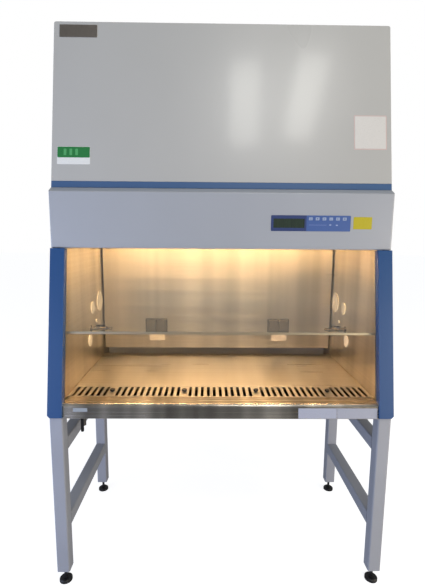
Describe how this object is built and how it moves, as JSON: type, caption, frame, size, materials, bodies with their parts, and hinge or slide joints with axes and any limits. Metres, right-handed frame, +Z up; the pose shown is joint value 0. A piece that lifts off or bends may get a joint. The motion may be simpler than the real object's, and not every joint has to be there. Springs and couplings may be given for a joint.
{
  "type": "biosafety cabinet",
  "caption": "Laboratory biosafety cabinet with a sliding glass sash, stainless work chamber, control hood and open tube stand.",
  "frame": {"origin": "on the floor under the middle of the whole part's box", "axes": "+Z up; +X to the right as seen from the front; +Y from the front to the back"},
  "size_m": [1.3, 0.799, 2.25],
  "materials": {
    "silver_paint": "glossy light silver-grey enamel",
    "hood_paint": "glossy cool grey enamel",
    "blue_trim": "satin mid blue enamel",
    "stand_paint": "satin light blue-grey powder coat",
    "stainless": "brushed stainless sheet",
    "zinc_steel": "zinc-coated sheet",
    "foot_plastic": "black moulded pad",
    "plug_plastic": "grey moulded plug",
    "valve_metal": "dull nickel plate",
    "handle_plastic": "black moulded",
    "outlet_plastic": "dark grey moulded",
    "overlay_blue": "satin blue overlay",
    "display_dark": "dark green-black window",
    "key_plastic": "pale domed key",
    "clear_glass": "clear tempered glass",
    "bare_aluminium": "satin anodised",
    "black_rubber": "matt",
    "shaft_steel": "ground steel bar",
    "weight_iron": "painted casting",
    "lamp_white": "white tube and holders",
    "filter_media": "pleated glass-fibre paper in a light frame"
  },
  "bodies": {
    "cabinet": {"accent_stripe": "blue_trim", "back_panel": "silver_paint", "blower_housing": "zinc_steel", "blower_motor": "bare_aluminium", "control_hood": "hood_paint", "control_panel": "overlay_blue", "diffuser": "stainless", "display_window": "display_dark", "drain_pan": "stainless", "drain_valve": "valve_metal", "electrical_box": "zinc_steel", "exhaust_filter": "filter_media", "exhaust_guard": "silver_paint", "inner_back_wall": "stainless", "inner_side_walls": "stainless", "lamp_fixture": "lamp_white", "outlets": "outlet_plastic", "plenum_box": "zinc_steel", "port_plugs": "plug_plastic", "power_inlet": "outlet_plastic", "sash_belts": "black_rubber", "sash_tracks": "bare_aluminium", "sash_wiper": "black_rubber", "service_valves": "valve_metal", "side_panels": "silver_paint", "side_trim_left": "blue_trim", "side_trim_right": "blue_trim", "stand_bolts": "zinc_steel", "stand_cross_beam": "stand_paint", "stand_frame_left": "stand_paint", "stand_frame_right": "stand_paint", "supply_filter": "filter_media", "top_panel": "silver_paint", "upper_front_panel": "silver_paint"},
    "sash": {"sash_glass": "clear_glass", "sash_edge_strip": "bare_aluminium", "sash_top_rail": "bare_aluminium"},
    "weights": {"counterweights": "weight_iron"},
    "shaft": {"sync_shaft": "shaft_steel"},
    "tray": {"work_tray": "stainless"},
    "grille": {"front_grille": "stainless", "grille_knobs": "handle_plastic"},
    "blower_wheel": {"impeller": "zinc_steel"},
    "drain_lever": {"drain_lever": "handle_plastic"},
    "valve_handle_left": {"valve_handle_left": "handle_plastic"},
    "valve_handle_right": {"valve_handle_right": "handle_plastic"},
    "power_key": {"power_key": "key_plastic"},
    "lamp_key": {"lamp_key": "key_plastic"},
    "uv_key": {"uv_key": "key_plastic"},
    "outlet_key": {"outlet_key": "key_plastic"},
    "mute_key": {"mute_key": "key_plastic"},
    "menu_key": {"menu_key": "key_plastic"},
    "levelling_foot_front_left": {"levelling_foot_front_left": "foot_plastic"},
    "levelling_foot_front_right": {"levelling_foot_front_right": "foot_plastic"},
    "levelling_foot_rear_left": {"levelling_foot_rear_left": "foot_plastic"},
    "levelling_foot_rear_right": {"levelling_foot_rear_right": "foot_plastic"},
    "outlet_lid_left_inner": {"outlet_lid_left_inner": "outlet_plastic"},
    "outlet_lid_left_outer": {"outlet_lid_left_outer": "outlet_plastic"},
    "outlet_lid_right_inner": {"outlet_lid_right_inner": "outlet_plastic"},
    "outlet_lid_right_outer": {"outlet_lid_right_outer": "outlet_plastic"}
  },
  "joints": [
    {"name": "sash_slide", "type": "slide", "parent": "cabinet", "child": "sash", "axis": [0, 0.1736, 0.9848], "range_m": [-0.2508, 0.2853]},
    {"name": "weights_slide", "type": "slide", "parent": "cabinet", "child": "weights", "axis": [0, 0.1736, 0.9848], "range_m": [-0.2854, 0.2509]},
    {"name": "shaft_turn", "type": "hinge", "parent": "cabinet", "child": "shaft", "pos_m": [0, -0.07553, 2.14], "axis": [-1, 0, 0], "range_deg": [-440, 500]},
    {"name": "tray_lift", "type": "slide", "parent": "cabinet", "child": "tray", "axis": [0, 0, 1], "range_m": [0, 0.05]},
    {"name": "grille_lift", "type": "slide", "parent": "cabinet", "child": "grille", "axis": [0, 0, 1], "range_m": [0, 0.04]},
    {"name": "blower_spin", "type": "hinge", "parent": "cabinet", "child": "blower_wheel", "pos_m": [0, 0.19948, 1.79006], "axis": [0, 1, 0], "continuous": true},
    {"name": "drain_lever_turn", "type": "hinge", "parent": "cabinet", "child": "drain_lever", "pos_m": [-0.56, -0.27052, 0.668], "axis": [0, -1, 0], "range_deg": [0, 90]},
    {"name": "valve_turn_left", "type": "hinge", "parent": "cabinet", "child": "valve_handle_left", "pos_m": [-0.575, 0.06448, 0.94], "axis": [0, 0, -1], "range_deg": [0, 90]},
    {"name": "valve_turn_right", "type": "hinge", "parent": "cabinet", "child": "valve_handle_right", "pos_m": [0.575, 0.06448, 0.94], "axis": [0, 0, 1], "range_deg": [0, 90]},
    {"name": "power_press", "type": "slide", "parent": "cabinet", "child": "power_key", "axis": [0, 1, 0], "range_m": [0, 0.0008], "stiffness_N_per_m": 400, "springref_m": -0.001},
    {"name": "lamp_press", "type": "slide", "parent": "cabinet", "child": "lamp_key", "axis": [0, 1, 0], "range_m": [0, 0.0008], "stiffness_N_per_m": 400, "springref_m": -0.001},
    {"name": "uv_press", "type": "slide", "parent": "cabinet", "child": "uv_key", "axis": [0, 1, 0], "range_m": [0, 0.0008], "stiffness_N_per_m": 400, "springref_m": -0.001},
    {"name": "outlet_press", "type": "slide", "parent": "cabinet", "child": "outlet_key", "axis": [0, 1, 0], "range_m": [0, 0.0008], "stiffness_N_per_m": 400, "springref_m": -0.001},
    {"name": "mute_press", "type": "slide", "parent": "cabinet", "child": "mute_key", "axis": [0, 1, 0], "range_m": [0, 0.0008], "stiffness_N_per_m": 400, "springref_m": -0.001},
    {"name": "menu_press", "type": "slide", "parent": "cabinet", "child": "menu_key", "axis": [0, 1, 0], "range_m": [0, 0.0008], "stiffness_N_per_m": 400, "springref_m": -0.001},
    {"name": "lid_left_outer", "type": "hinge", "parent": "cabinet", "child": "outlet_lid_left_outer", "pos_m": [-0.353, 0.28698, 0.935], "axis": [-1, 0, 0], "range_deg": [0, 110]},
    {"name": "lid_left_inner", "type": "hinge", "parent": "cabinet", "child": "outlet_lid_left_inner", "pos_m": [-0.299, 0.28698, 0.935], "axis": [-1, 0, 0], "range_deg": [0, 110]},
    {"name": "lid_right_outer", "type": "hinge", "parent": "cabinet", "child": "outlet_lid_right_outer", "pos_m": [0.353, 0.28698, 0.935], "axis": [-1, 0, 0], "range_deg": [0, 110]},
    {"name": "lid_right_inner", "type": "hinge", "parent": "cabinet", "child": "outlet_lid_right_inner", "pos_m": [0.299, 0.28698, 0.935], "axis": [-1, 0, 0], "range_deg": [0, 110]},
    {"name": "foot_front_left", "type": "slide", "parent": "cabinet", "child": "levelling_foot_front_left", "axis": [0, 0, -1], "range_m": [0, 0.025]},
    {"name": "foot_front_right", "type": "slide", "parent": "cabinet", "child": "levelling_foot_front_right", "axis": [0, 0, -1], "range_m": [0, 0.025]},
    {"name": "foot_rear_left", "type": "slide", "parent": "cabinet", "child": "levelling_foot_rear_left", "axis": [0, 0, -1], "range_m": [0, 0.025]},
    {"name": "foot_rear_right", "type": "slide", "parent": "cabinet", "child": "levelling_foot_rear_right", "axis": [0, 0, -1], "range_m": [0, 0.025]}
  ],
  "couplings": [
    {"joint": "weights_slide", "follows": "sash_slide", "ratio": -1},
    {"joint": "shaft_turn", "follows": "sash_slide", "rad_per_m": 30.303}
  ]
}
